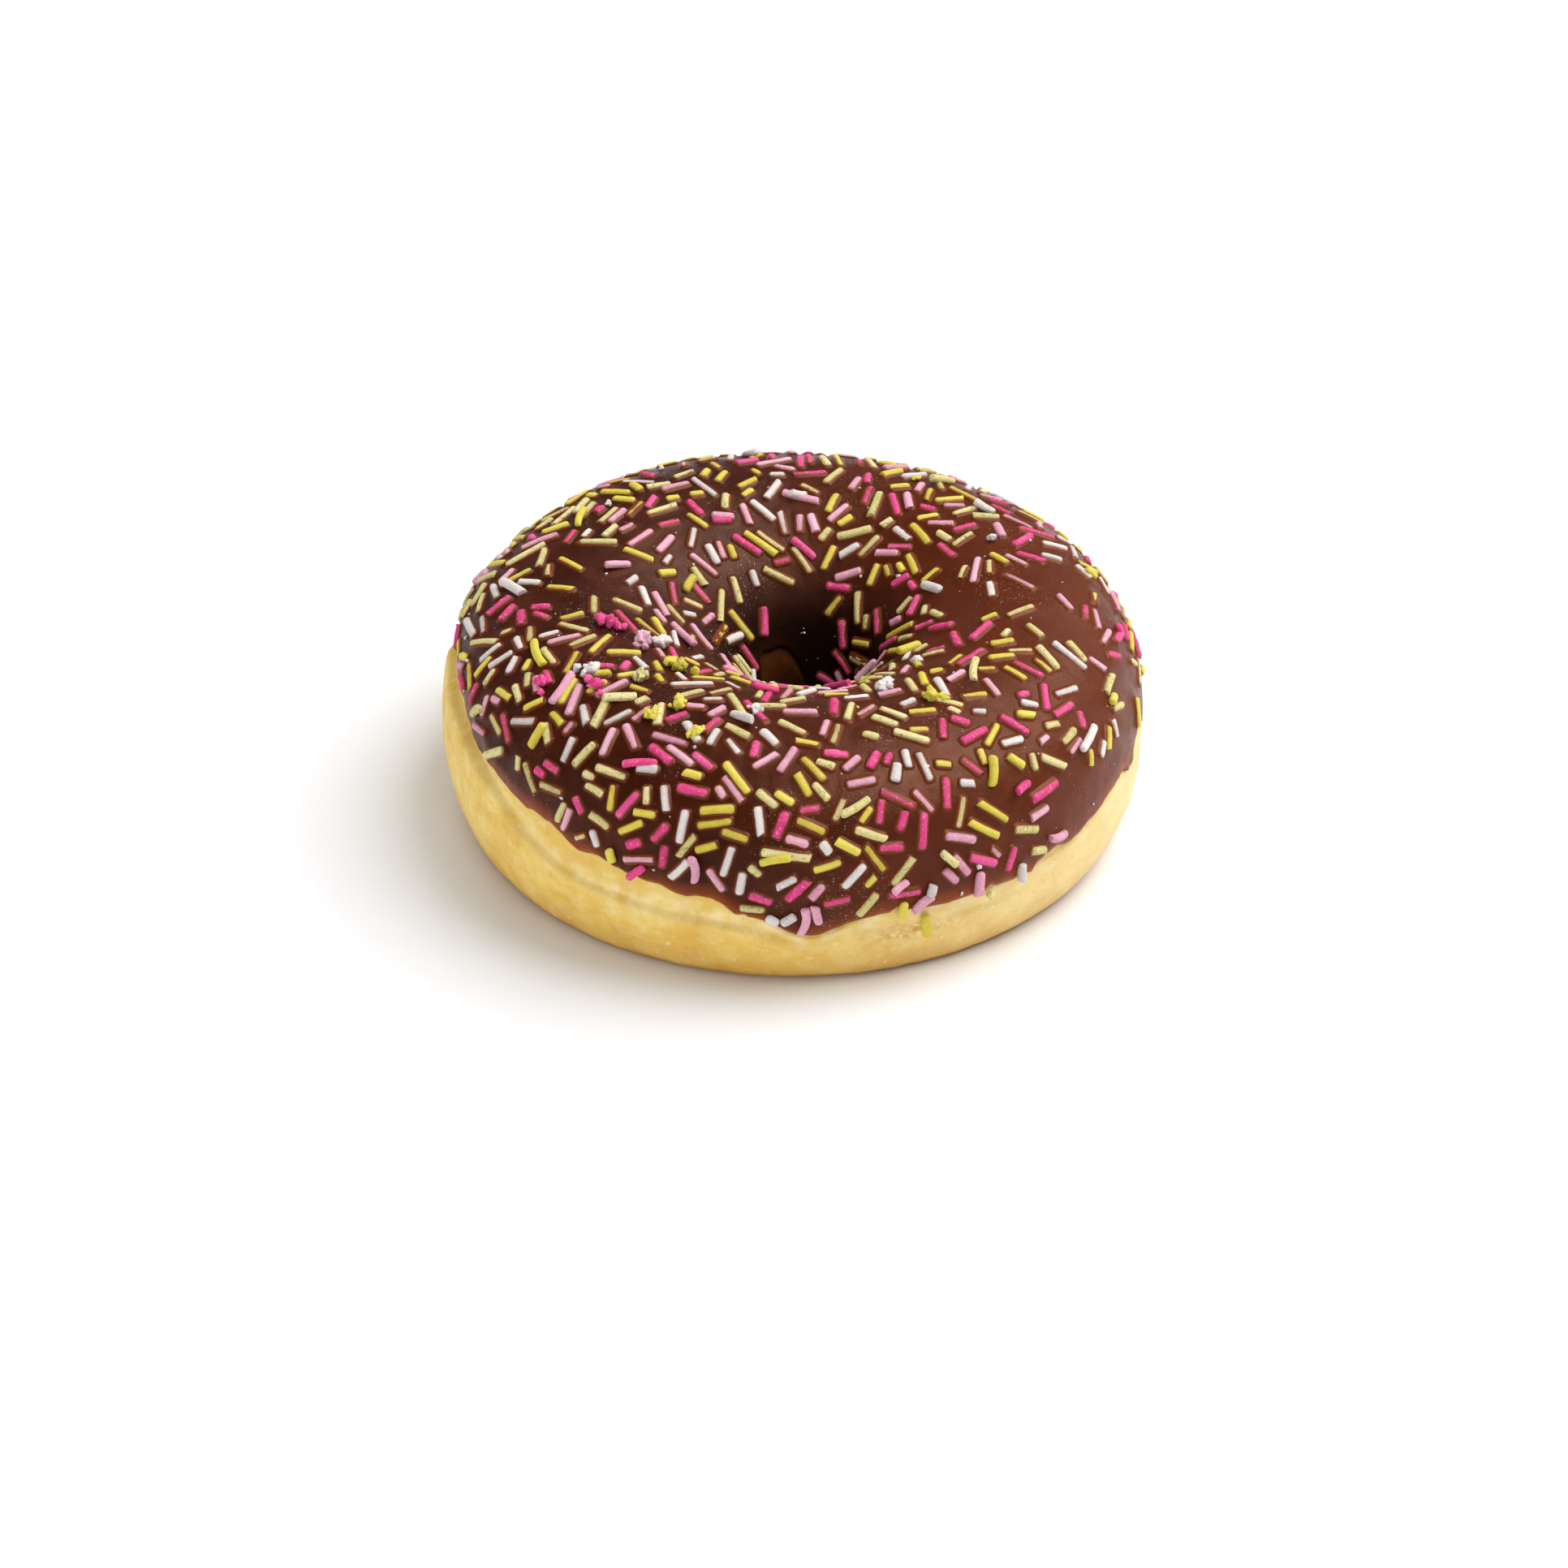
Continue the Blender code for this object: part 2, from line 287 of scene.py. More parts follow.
def band_mesh(name, points):
    """A mesh from points listed as [turn][row], closed round the ring and round its section."""
    turns, rows = points.shape[:2]
    here = np.arange(turns * rows).reshape(turns, rows)
    there = np.roll(here, -1, axis=0)
    up, up_there = np.roll(here, -1, axis=1), np.roll(there, -1, axis=1)
    faces = np.stack([here, there, up_there, up], axis=-1).reshape(-1, 4)
    return mesh_object(name, points.reshape(-1, 3), faces)


def mesh_object(name, points, faces):
    mesh = bpy.data.meshes.new(name)
    mesh.vertices.add(len(points))
    mesh.vertices.foreach_set("co", np.asarray(points, np.float32).ravel())
    counts = np.array([len(f) for f in faces], np.int32)
    loops = np.concatenate(list(faces))
    mesh.loops.add(len(loops))
    mesh.loops.foreach_set("vertex_index", loops.astype(np.int32))
    mesh.polygons.add(len(counts))
    mesh.polygons.foreach_set("loop_start", (np.cumsum(counts) - counts).astype(np.int32))
    mesh.polygons.foreach_set("loop_total", counts)
    mesh.update(calc_edges=True)
    mesh.validate()
    mesh.shade_smooth()
    made = bpy.data.objects.new(name, mesh)
    bpy.context.scene.collection.objects.link(made)
    return made


def attribute(made, name, values):
    layer = made.data.attributes.new(name, "FLOAT", "POINT")
    layer.data.foreach_set("value", np.asarray(values, np.float32).ravel())


# Materials


def srgb(*levels):
    """Linear colour from 0 to 255 levels."""
    parts = [v / 255 for v in levels]
    return tuple(p / 12.92 if p <= 0.04045 else ((p + 0.055) / 1.055) ** 2.4 for p in parts) + (1.0,)


class Nodes:
    """Short names for adding and linking shader nodes."""

    def __init__(self, name):
        self.material = bpy.data.materials.new(name)
        self.material.use_nodes = True
        self.tree = self.material.node_tree
        self.shader = self.tree.nodes["Principled BSDF"]
        self.where = self.add("ShaderNodeTexCoord").outputs["Object"]

    def add(self, kind, **settings):
        node = self.tree.nodes.new(kind)
        for key, value in settings.items():
            setattr(node, key, value)
        return node

    def link(self, source, target):
        self.tree.links.new(source, target)

    def noise(self, scale, detail=3.0, roughness=0.55, flat=1.0):
        """Noise in object space, with scale patches a metre, flat times lower than they are wide."""
        node = self.add("ShaderNodeTexNoise")
        node.inputs["Scale"].default_value = scale
        node.inputs["Detail"].default_value = detail
        node.inputs["Roughness"].default_value = roughness
        squeeze = self.add("ShaderNodeVectorMath", operation="MULTIPLY")
        squeeze.inputs[1].default_value = (1.0, 1.0, flat)
        self.link(self.where, squeeze.inputs[0])
        self.link(squeeze.outputs["Vector"], node.inputs["Vector"])
        return node.outputs["Fac"]

    def axes(self):
        """The places along X, Y and Z."""
        node = self.add("ShaderNodeSeparateXYZ")
        self.link(self.where, node.inputs["Vector"])
        return node.outputs

    def value(self, name):
        return self.add("ShaderNodeAttribute", attribute_name=name).outputs["Fac"]

    def ramp(self, source, *stops):
        """A colour ramp of (position, colour) stops."""
        node = self.add("ShaderNodeValToRGB")
        elements = node.color_ramp.elements
        while len(elements) < len(stops):
            elements.new(0.5)
        for element, (position, colour) in zip(elements, stops):
            element.position = position
            element.color = colour
        self.link(source, node.inputs["Fac"])
        return node.outputs["Color"]

    def levels(self, source, low, high, to_low=0.0, to_high=1.0):
        node = self.add("ShaderNodeMapRange")
        limits = {"From Min": low, "From Max": high, "To Min": to_low, "To Max": to_high}
        for key, value in limits.items():
            node.inputs[key].default_value = value
        self.link(source, node.inputs["Value"])
        return node.outputs["Result"]

    def math(self, operation, first, second):
        node = self.add("ShaderNodeMath", operation=operation)
        for socket, value in zip(node.inputs, (first, second)):
            if isinstance(value, (int, float)):
                socket.default_value = value
            else:
                self.link(value, socket)
        return node.outputs["Value"]

    def mix(self, factor, first, second):
        node = self.add("ShaderNodeMix", data_type="RGBA")
        sockets = (node.inputs[0], node.inputs[6], node.inputs[7])
        for socket, value in zip(sockets, (factor, first, second)):
            if isinstance(value, (int, float, tuple)):
                socket.default_value = value
            else:
                self.link(value, socket)
        return node.outputs[2]

    def bump(self, height, strength, distance, under=None):
        node = self.add("ShaderNodeBump")
        node.inputs["Strength"].default_value = strength
        node.inputs["Distance"].default_value = distance
        self.link(height, node.inputs["Height"])
        if under is not None:
            self.link(under, node.inputs["Normal"])
        return node.outputs["Normal"]

    def set(self, **values):
        for name, value in values.items():
            socket = self.shader.inputs[name.replace("_", " ")]
            if isinstance(value, (int, float, tuple)):
                socket.default_value = value
            else:
                self.link(value, socket)


def dough_material():
    """The fried crust. Its points carry torn, fluff and inside, each from 0 to 1; inside is where shade
    is painted on the dough in the hole.
    """
    n = Nodes("golden_crust")
    x, _, z = n.axes()
    golden = ((0.3, srgb(222, 175, 74)), (0.5, srgb(231, 195, 97)), (0.72, srgb(241, 215, 130)))
    base = n.ramp(n.noise(170, 4, 0.6), *golden)
    # Painted light: the crust is coloured paler and less golden towards +X, the side the key light falls
    # on.
    base = n.mix(n.levels(x, 0.0, 0.045, 0.0, 0.6), base, srgb(243, 221, 172))
    base = n.mix(n.levels(n.noise(330, 5, 0.65, 1.5), 0.5, 0.72, 0.0, 0.34), base, srgb(248, 231, 176))
    base = n.mix(n.levels(n.noise(800, 4, 0.65, 1.6), 0.54, 0.74, 0.0, 0.28), base, srgb(208, 158, 66))
    uneven = n.math("ADD", z, n.math("MULTIPLY", n.noise(260, 3), 0.0035))
    low = n.levels(uneven, 0.0005, 0.0085, 1.0, 0.0)
    fried = n.mix(n.math("MULTIPLY", low, 0.75), base, srgb(198, 146, 62))
    uneven = n.math("ADD", z, n.math("MULTIPLY", n.noise(700, 3), 0.0012))
    rim = n.levels(uneven, 0.0004, 0.0019, 1.0, 0.0)
    fried = n.mix(n.math("MULTIPLY", rim, 0.7), fried, srgb(158, 104, 40))
    specks = n.levels(n.noise(1500, 2, 0.5), 0.68, 0.76)
    fried = n.mix(n.math("MULTIPLY", specks, 0.35), fried, srgb(190, 132, 60))
    pale = n.levels(n.noise(900, 2, 0.5), 0.66, 0.74)
    fried = n.mix(n.math("MULTIPLY", pale, 0.3), fried, srgb(255, 240, 200))
    fried = n.mix(n.math("MULTIPLY", n.value("fluff"), 0.6), fried, srgb(249, 234, 186))
    crumb = n.ramp(n.noise(1300, 3, 0.6), (0.36, srgb(214, 156, 62)), (0.6, srgb(250, 226, 164)))
    fried = n.mix(n.value("torn"), fried, crumb)
    # Painted shade: the dough inside the hole is coloured near black-brown, made rougher, and its
    # reflections are tinted near black.
    fried = n.mix(n.value("inside"), fried, srgb(66, 31, 5))
    dull = n.math("MULTIPLY", n.value("inside"), 0.35)
    rough = n.levels(n.noise(500, 3), 0.3, 0.7, 0.5, 0.64)
    n.set(Base_Color=fried, Roughness=n.math("ADD", rough, dull))
    n.set(Subsurface_Weight=0.22, Subsurface_Radius=(1.0, 0.55, 0.25), Subsurface_Scale=0.0022)
    gloss = n.mix(n.value("inside"), (1, 1, 1, 1), (0.1, 0.1, 0.1, 1))
    n.set(Specular_IOR_Level=0.3, Specular_Tint=gloss)
    soft = n.bump(n.noise(420, 5, 0.6), 0.35, 0.0005)
    n.set(Normal=n.bump(n.noise(2600, 3, 0.6, 1.5), 0.35, 0.00014, soft))
    return n.material


def icing_material():
    """The chocolate. Its points carry edge, the mm from its edge, the share of painted shade far down in
    the hole, and rim, each from 0 to 1.
    """
    n = Nodes("satin_chocolate")
    base = n.ramp(n.noise(120, 4, 0.6), (0.3, srgb(47, 13, 3)), (0.7, srgb(72, 25, 7)))
    # Painted light: the icing is coloured a lighter, warmer brown towards +X, the side the key light
    # falls on.
    base = n.mix(n.levels(n.axes()["X"], -0.01, 0.045, 0.0, 0.75), base, srgb(106, 44, 15))
    wide = n.math("MULTIPLY", n.levels(n.noise(90, 2), 0.3, 0.5), 0.9)
    thin = n.math("MULTIPLY", n.levels(n.value("edge"), 0.3, 2.6, 1.0, 0.0), wide)
    base = n.mix(thin, base, srgb(146, 64, 19))
    ragged = n.math("ADD", n.value("edge"), n.math("MULTIPLY", n.noise(600, 3), -0.5))
    base = n.mix(n.levels(ragged, -0.15, 0.6, 1.0, 0.0), base, srgb(140, 66, 24))
    # Painted shade: far down in the hole the icing is coloured near black.
    base = n.mix(n.math("MULTIPLY", n.value("hole_shade"), 0.93), base, srgb(10, 4, 2))
    base = n.mix(n.math("MULTIPLY", n.value("rim"), 0.85), base, srgb(122, 60, 29))
    # Pale specks: partly sugar grains, partly painted glints of sparkle.
    speck_dots, strewn = n.levels(n.noise(4300, 1, 0.4), 0.69, 0.72), n.levels(n.noise(75, 2), 0.5, 0.66)
    sugar_and_glint_specks = n.math("MULTIPLY", speck_dots, strewn)
    base = n.mix(n.math("MULTIPLY", sugar_and_glint_specks, 0.55), base, srgb(225, 205, 190))
    # Far down in the hole the icing is rougher and its reflections are tinted near black, as painted
    # shade.
    dull = n.math("MULTIPLY", n.value("hole_shade"), 0.5)
    rough = n.levels(n.noise(500, 4), 0.3, 0.7, 0.27, 0.46)
    n.set(Base_Color=base, Roughness=n.math("ADD", rough, dull))
    gloss = n.mix(n.value("hole_shade"), (1.0, 0.57, 0.4, 1), (0.12, 0.06, 0.04, 1))
    n.set(Specular_IOR_Level=0.3, Specular_Tint=gloss)
    soft = n.bump(n.noise(700, 4, 0.6), 0.2, 0.0002)
    n.set(Normal=n.bump(n.noise(3400, 3, 0.7), 0.6, 0.00011, soft))
    return n.material


def sprinkle_material(kind):
    """One kind's sugar. Its points carry tint, dark to light, and film, the icing on its foot."""
    _, *colours, speck_share = KINDS[kind]
    dark, plain, light, speck = (srgb(*colour) for colour in colours)
    n = Nodes(f"{kind}_sprinkle")
    base = n.ramp(n.value("tint"), (0.0, dark), (0.5, plain), (1.0, light))
    cloudy = n.levels(n.noise(1100, 3), 0.3, 0.75, 0.0, 0.4)
    base = n.mix(cloudy, base, light)
    specks = n.levels(n.noise(2300, 2), 0.6, 0.66)
    base = n.mix(n.math("MULTIPLY", specks, speck_share), base, speck)
    grains = n.levels(n.noise(4000, 3, 0.65), 0.4, 0.64, 0.0, 0.42)
    base = n.mix(grains, base, light)
    patchy = n.levels(n.noise(1900, 2), 0.3, 0.7, 0.55, 0.95)
    base = n.mix(n.math("MULTIPLY", n.value("film"), patchy), base, srgb(112, 62, 30))
    n.set(Base_Color=base, Roughness=n.levels(n.noise(1500, 2), 0.3, 0.7, 0.5, 0.68))
    n.set(Subsurface_Weight=0.15, Subsurface_Radius=(1.0, 0.7, 0.5), Subsurface_Scale=0.0006)
    n.set(Specular_IOR_Level=0.35)
    n.set(Normal=n.bump(n.noise(3200, 3, 0.65), 0.8, 0.0002))
    return n.material


# The sprinkles


# Each kind's share, its dark, plain, light and speck colours, and how strong the specks are
KINDS = {
    "hot_pink": (0.19, (180, 22, 84), (216, 46, 116), (236, 88, 152), (250, 164, 202), 0.5),
    "pale_pink": (0.18, (196, 120, 146), (220, 150, 174), (236, 186, 204), (248, 218, 228), 0.3),
    "yellow": (0.25, (190, 170, 34), (212, 194, 60), (230, 216, 96), (206, 156, 44), 0.15),
    "pale_green": (0.26, (182, 172, 94), (212, 200, 128), (230, 218, 158), (106, 118, 28), 0.85),
    "white": (0.15, (190, 180, 175), (214, 205, 200), (230, 224, 220), (252, 250, 246), 0.3),
}

# The ends of a sprinkle: mm from the tip, and the share of its width there
END_SHAPES = {
    "round": ((0.0, 0.34), (0.05, 0.6), (0.15, 0.82), (0.3, 0.95), (0.5, 1.0)),
    "blunt": ((0.0, 0.5), (0.04, 0.72), (0.12, 0.88), (0.24, 0.97), (0.4, 1.0)),
    "broken": ((0.0, 0.8), (0.015, 0.9), (0.05, 0.97), (0.12, 1.0), (0.3, 1.0)),
}

# Where sprinkles lie closer or thinner: change of share, azimuth and its width, s and its width
PATCHES = (
    (0.3, -130, 28, 1.9, 0.5),
    (0.3, 178, 16, 2.5, 0.25),
    (0.2, 140, 14, 1.85, 0.25),
    (0.2, -46, 14, 1.53, 0.2),
    (0.1, -54, 16, 2.3, 0.2),
    (-0.46, -178, 20, 2.03, 0.22),
    (-0.5, -4, 27, 1.9, 0.45),
)

# Sprinkles at and over the icing's edge: kind, azimuth, height, heading (90 is upright) and length
STRAYS = (
    ("white", -52.0, 12.4, 88, 3.5),
    ("yellow", -72.8, 11.6, 85, 3.1),
    ("yellow", -68.8, 8.9, 92, 3.2),
    ("pale_pink", -69.6, 12.4, 38, 3.6),
    ("pale_pink", -60.0, 13.2, 86, 3.9),
    ("pale_green", -58.0, 11.0, 30, 1.1),
    ("white", -68.2, 14.2, 75, 1.7),
    ("pale_pink", -86.2, 12.6, 100, 3.2),
    ("white", -90.5, 11.9, 40, 2.2),
    ("white", -93.0, 11.6, 150, 1.8),
    ("pale_pink", -88.4, 11.2, 70, 2.0),
    ("pale_pink", -44.5, 15.4, 170, 3.0),
    ("hot_pink", -115.0, 15.6, 45, 3.2),
    ("yellow", -119.5, 17.0, 110, 2.0),
    ("pale_pink", 164.0, 27.0, 80, 3.0),
)

# Broken bits: kind, azimuth, s and the width of the heap
HEAPS = (
    ("white", -143.5, 1.90, 1.9),
    ("hot_pink", -137.5, 1.86, 1.9),
    ("hot_pink", -148.0, 1.72, 1.7),
    ("hot_pink", -162.5, 2.12, 2.1),
    ("white", -150.5, 2.27, 2.0),
    ("pale_pink", -151.5, 2.2, 2.0),
    ("yellow", -131.0, 2.2, 2.2),
    ("pale_green", -133.0, 2.0, 1.7),
    ("yellow", -110.0, 1.82, 1.9),
    ("yellow", -118.0, 1.95, 1.9),
    ("yellow", -121.0, 1.86, 1.5),
    ("white", -64.5, 2.16, 1.9),
    ("white", -61.0, 2.2, 1.6),
    ("yellow", -55.5, 1.97, 1.8),
    ("white", -41.0, 2.3, 1.4),
    ("white", -100.0, 2.0, 1.2),
    ("white", 24.0, 2.0, 1.0),
    ("yellow", 60.0, 1.9, 1.0),
    ("white", 140.0, 1.9, 0.9),
)


def band(s, middle, half):
    """1 where s is near middle, falling to 0 beyond half on either side."""
    return np.exp(-(((s - middle) / half) ** 4))


def spread(a, s, points):
    """The share of a full covering that lies at spots of the icing, as on the real one, with clumps."""
    share = 0.93 + 0.12 * lumps(points, 0.007, 2, 3.1)
    for change, azimuth, width, middle, half in PATCHES:
        share += change * hump(a, azimuth, width) * band(s, middle, half)
    share += 0.26 * hump(a, -95, 40) * (s < 1.7)
    low = (s < 2) * (1 - smooth_step((points[:, 2] / MM - 19) / 8))
    share *= 1 - 0.85 * low * hump(a, -24, 30)
    share *= 1 - 0.45 * low * hump(a, -152, 22)
    share *= 1 - 0.95 * hump(a, 98, 42, 4) * smooth_step((s - 2.5) / 0.1)
    share *= 0.3 + 0.7 * smooth_step((points[:, 2] - edge_height(a, s)) / (3 * MM))
    return share


def local_steps(a, s):
    """Metres of icing for each radian of azimuth and for each unit of s."""
    step = 0.01
    point = skin(a, s)
    per_s = np.linalg.norm(skin(a, s + step) - skin(a, s - step), axis=-1) / (2 * step)
    dx, dy = hole_shift(s)
    per_a = np.hypot(point[..., 0] - dx, point[..., 1] - dy)
    return per_a, per_s


class Laid:
    """One sprinkle on the icing: where its middle is, its heading, length, radius and axis."""

    def __init__(self, spot, footing):
        self.a, self.s, self.heading, self.length, self.radius = spot
        self.normal, self.ground, self.bow = footing[:3]
        self.axis = self.ground
        self.collared = True

    def lift(self, start, end=None):
        self.axis = self.axis + self.normal * np.array([[start], [start if end is None else end]])

    def rest_on(self, place, gap):
        """Lean this sprinkle on another, whose axis passes at place, 0 to 1, and gap metres aside."""
        top = math.sqrt(max(0.0, (1.8 * self.radius) ** 2 - gap**2))
        low = 0.1 * MM
        near = low + (top - low) / max(place, 1 - place)
        self.lift(*((near, low) if place < 0.5 else (low, near)))
        self.collared = False


def footings(a, s, heading, length):
    """How sprinkles stand at spots: their normals, ends and bows, and whether they keep off the edge."""
    per_a, per_s = local_steps(a, s)
    ends = np.array([-0.5, 0.0, 0.5])[:, None] * length
    turns, along = a + ends * np.cos(heading) / per_a, s + ends * np.sin(heading) / per_s
    points = icing_point(turns, along)
    inside = np.all(points[..., 2] > edge_height(turns, along) + EDGE_MARGIN, axis=0)
    normals = skin_normal(a, s)
    swell = (points[1] - (points[0] + points[2]) / 2) * 0.5
    grounds = np.stack([points[0] + swell, points[2] + swell], axis=1)
    return list(zip(normals, grounds, (swell * normals).sum(axis=1), inside))


def axis_points(axis):
    return axis[0] + (axis[1] - axis[0]) * np.linspace(0, 1, 5)[:, None]


def likely_spots():
    """Azimuths, s, headings, lengths and radii of spots evenly all over the icing, and their shares."""
    draw = np.random.default_rng(SEED)
    a = draw.uniform(-math.pi, math.pi, TRIALS)
    s = draw.uniform(*ICED_S, TRIALS)
    per_a, per_s = local_steps(a, s)
    most = 1.9 * CROWN_RADIUS**2
    kept = draw.random(TRIALS) < per_a * per_s / most
    a, s = a[kept], s[kept]
    length = np.clip(draw.normal(MEAN_LENGTH, LENGTH_SPREAD, len(a)), SHORTEST, LONGEST)
    radius = SPRINKLE_RADIUS * draw.uniform(0.86, 1.08, len(a))
    spots = np.stack([a, s, draw.uniform(0, math.pi, len(a)), length, radius], axis=1)
    return spots, spread(a, s, skin(a, s))


def strays(draw):
    """The sprinkles at and over the icing's edge."""
    found = []
    for kind, azimuth, height, heading, length in STRAYS:
        a = math.radians(azimuth)
        s = s_at_height(a, height * MM, 0, 2)
        radius = SPRINKLE_RADIUS * draw.uniform(0.95, 1.05)
        spot = np.array([a, s, math.radians(heading), length * MM, radius])
        made = Laid(spot, footings(*spot[:4, None])[0])
        low = icing_point(np.float64(a), np.float64(s))[2] < outer_edge_height(a)
        made.lift((0.35 if low else 0.45) * MM)
        made.kind, made.collared = kind, False
        found.append(made)
    return found


def scatter():
    """Every sprinkle. A full covering is laid, and only some are kept. A few lie on top of the others."""
    draw = random.Random(SEED)
    placed = strays(draw)
    names, weights = list(KINDS), [KINDS[name][0] for name in KINDS]
    spots, shares = likely_spots()
    taken = np.zeros((len(spots), 5, 3))
    taken[: len(placed)] = [axis_points(made.axis) for made in placed]
    count = len(placed)
    for spot, footing, share in zip(spots, footings(*spots.T[:4]), shares):
        if not footing[3]:
            continue
        made = Laid(spot, footing)
        here = axis_points(made.axis)
        away = np.linalg.norm(taken[:count, 2] - here[2], axis=1)
        close = taken[:count][away < NEIGHBOURHOOD]
        gaps = np.linalg.norm(close[:, :, None] - here[None, None], axis=3).min(axis=1)
        gap, place = gaps.min(initial=1), (gaps.min(axis=1).argmin() if len(gaps) else 0)
        if gap > made.radius * SPRINKLE_GAP:
            height = draw.uniform(*AXIS_HEIGHT) * MM
            made.lift(height, height + draw.uniform(-TILT, TILT) * MM)
            kept = draw.random() < share
        else:
            place = gaps[place].argmin() / 4
            crossed = (gaps.min(axis=1) < made.radius * 2).sum()
            kept = draw.random() < ON_TOP_SHARE * share
            if not (kept and 0.3 * MM < gap and place != 0.5 and crossed == 1):
                continue
            made.rest_on(place, gap)
        taken[count] = axis_points(made.axis)
        count += 1
        if kept:
            made.kind = draw.choices(names, weights)[0]
            placed.append(made)
    return placed


def sprinkle_points(laid, draw):
    """One sprinkle as rings of points from end to end, a little bent, tapered and uneven."""
    start, end = laid.axis
    length = float(np.linalg.norm(end - start))
    along = (end - start) / length
    side = np.cross(along, laid.normal)
    side /= np.linalg.norm(side)
    up = np.cross(side, along)
    ends = [draw.choice(("round", "round", "blunt", "blunt", "broken")) for _ in range(2)]
    rows = [(min(depth * MM, length * 0.3), share, 0) for depth, share in END_SHAPES[ends[0]]]
    rows += [(length * part, 1.0, None) for part in (0.32, 0.5, 0.68)]
    for depth, share in reversed(END_SHAPES[ends[1]]):
        rows.append((length - min(depth * MM, length * 0.3), share, 1))
    bend = draw.gauss(0, 0.01 if laid.collared else 0.05) * length
    taper = draw.gauss(0, 0.03)
    belly = draw.gauss(0, 0.015)
    lumpy = 0.045 if laid.kind == "hot_pink" else 0.01
    tilts = [
        (draw.uniform(0.1, 0.5) if kind == "broken" else 0.08, draw.uniform(0, 6.28)) for kind in ends
    ]
    angles = np.arange(SPRINKLE_SIDES) / SPRINKLE_SIDES * 2 * math.pi
    flat = draw.uniform(0.9, 1.04)
    lean = draw.uniform(0, 6.28)
    oval = 1 + 0.04 * np.cos(2 * (angles - lean))
    rings = []
    for distance, share, which in rows:
        u = 2 * distance / length - 1
        centre = start + along * distance + (side * bend + laid.normal * laid.bow) * (1 - u * u)
        width = laid.radius * share * (1 + taper * u + belly * (1 - u * u) + draw.gauss(0, lumpy))
        uneven = oval * (1 + np.array([draw.gauss(0, 0.014 + lumpy * 0.6) for _ in angles]))
        ring = centre + width * uneven[:, None] * (
            np.cos(angles)[:, None] * side + flat * np.sin(angles)[:, None] * up
        )
        if which is not None:
            tilt, at = tilts[which]
            ring += along * (width * tilt * np.cos(angles - at))[:, None] * (1 if which else -1)
        rings.append(ring)
    tips = [rings[0].mean(axis=0) - along * 0.02 * MM, rings[-1].mean(axis=0) + along * 0.02 * MM]
    return np.array(rings), tips


def sprinkle_faces(rings, start):
    """Quads along the sprinkle and a fan at each end, numbered from start."""
    sides = SPRINKLE_SIDES
    faces = []
    for row in range(rings - 1):
        for k in range(sides):
            here, there = start + row * sides + k, start + row * sides + (k + 1) % sides
            faces.append((here, there, there + sides, here + sides))
    first, last = start + rings * sides, start + rings * sides + 1
    for k in range(sides):
        faces.append((start + (k + 1) % sides, start + k, first))
        top = start + (rings - 1) * sides
        faces.append((top + k, top + (k + 1) % sides, last))
    return faces


def ball(level):
    """Points and faces of a unit icosphere."""
    made = bmesh.new()
    bmesh.ops.create_icosphere(made, subdivisions=level, radius=1)
    points = np.array([v.co[:] for v in made.verts])
    faces = [tuple(v.index for v in f.verts) for f in made.faces]
    made.free()
    return points, faces


def crumbs(draw):
    """Broken bits, in heaps and strewn: each one's kind, azimuth, s, size, height and ball level."""
    found = []
    for kind, azimuth, s, width in HEAPS:
        a = math.radians(azimuth)
        per_a, per_s = local_steps(a, s)
        for n in range(draw.choice((4, 5, 6))):
            far = width * MM * 0.48 if n else 0.0
            da, ds = draw.gauss(0, far) / per_a, draw.gauss(0, far * 0.8) / per_s
            size = draw.uniform(0.3, 0.5) * width * (0.8 if n else 1.15) * MM
            height = (draw.uniform(0.35, 0.95) * size if n else 0.6 * size) + 0.25 * MM
            found.append((kind, a + da, s + ds, size, height, 2 if n % 2 else 3))
    for _ in range(SPECKS):
        a, s = draw.uniform(-math.pi, math.pi), draw.uniform(1.0, 2.9)
        size = min(0.42, 0.08 + draw.expovariate(1 / 0.07)) * MM
        kind = draw.choices(("white", "yellow", "pale_pink", "hot_pink"), (0.7, 0.12, 0.1, 0.08))[0]
        if icing_point(np.float64(a), np.float64(s))[2] > edge_height(np.float64(a), s) + 0.8 * MM:
            found.append((kind, a, s, size, size * 0.35, 1 if size < 0.2 * MM else 2))
    return found


def crumb_points(unit, a, s, size, height, draw):
    """A lumpy bit of broken sprinkle."""
    centre, normal = icing_point(a, s), skin_normal(a, s)
    shift = Vector((draw.uniform(0, 50), draw.uniform(0, 50), draw.uniform(0, 50)))
    rough = np.array([noise.fractal(Vector(p) * 1.3 + shift, 1.0, 2.0, 3) for p in unit])
    edges = np.array([noise.cell(Vector(p) * 1.9 + shift) for p in unit])
    stretch = np.array([draw.uniform(0.7, 1.3) for _ in range(3)])
    uneven = 1 + 0.4 * rough + 0.24 * (edges - 0.5)
    return centre + normal * height + unit * stretch * (size * uneven)[:, None]


def film_share(laid, points):
    """How thick the icing's film is on a sprinkle's points: full where the icing's rim meets it."""
    if not laid.collared:
        return np.zeros(len(points))
    along = laid.ground[1] - laid.ground[0]
    t = np.clip((points - laid.ground[0]) @ along / (along @ along), 0, 1)
    ground = laid.ground[0] + along * t[:, None] + laid.normal * (laid.bow * 4 * t * (1 - t))[:, None]
    height = (points - ground) @ laid.normal
    return 1 - smooth_step((height - FILM_TOP) / FILM_FADE)


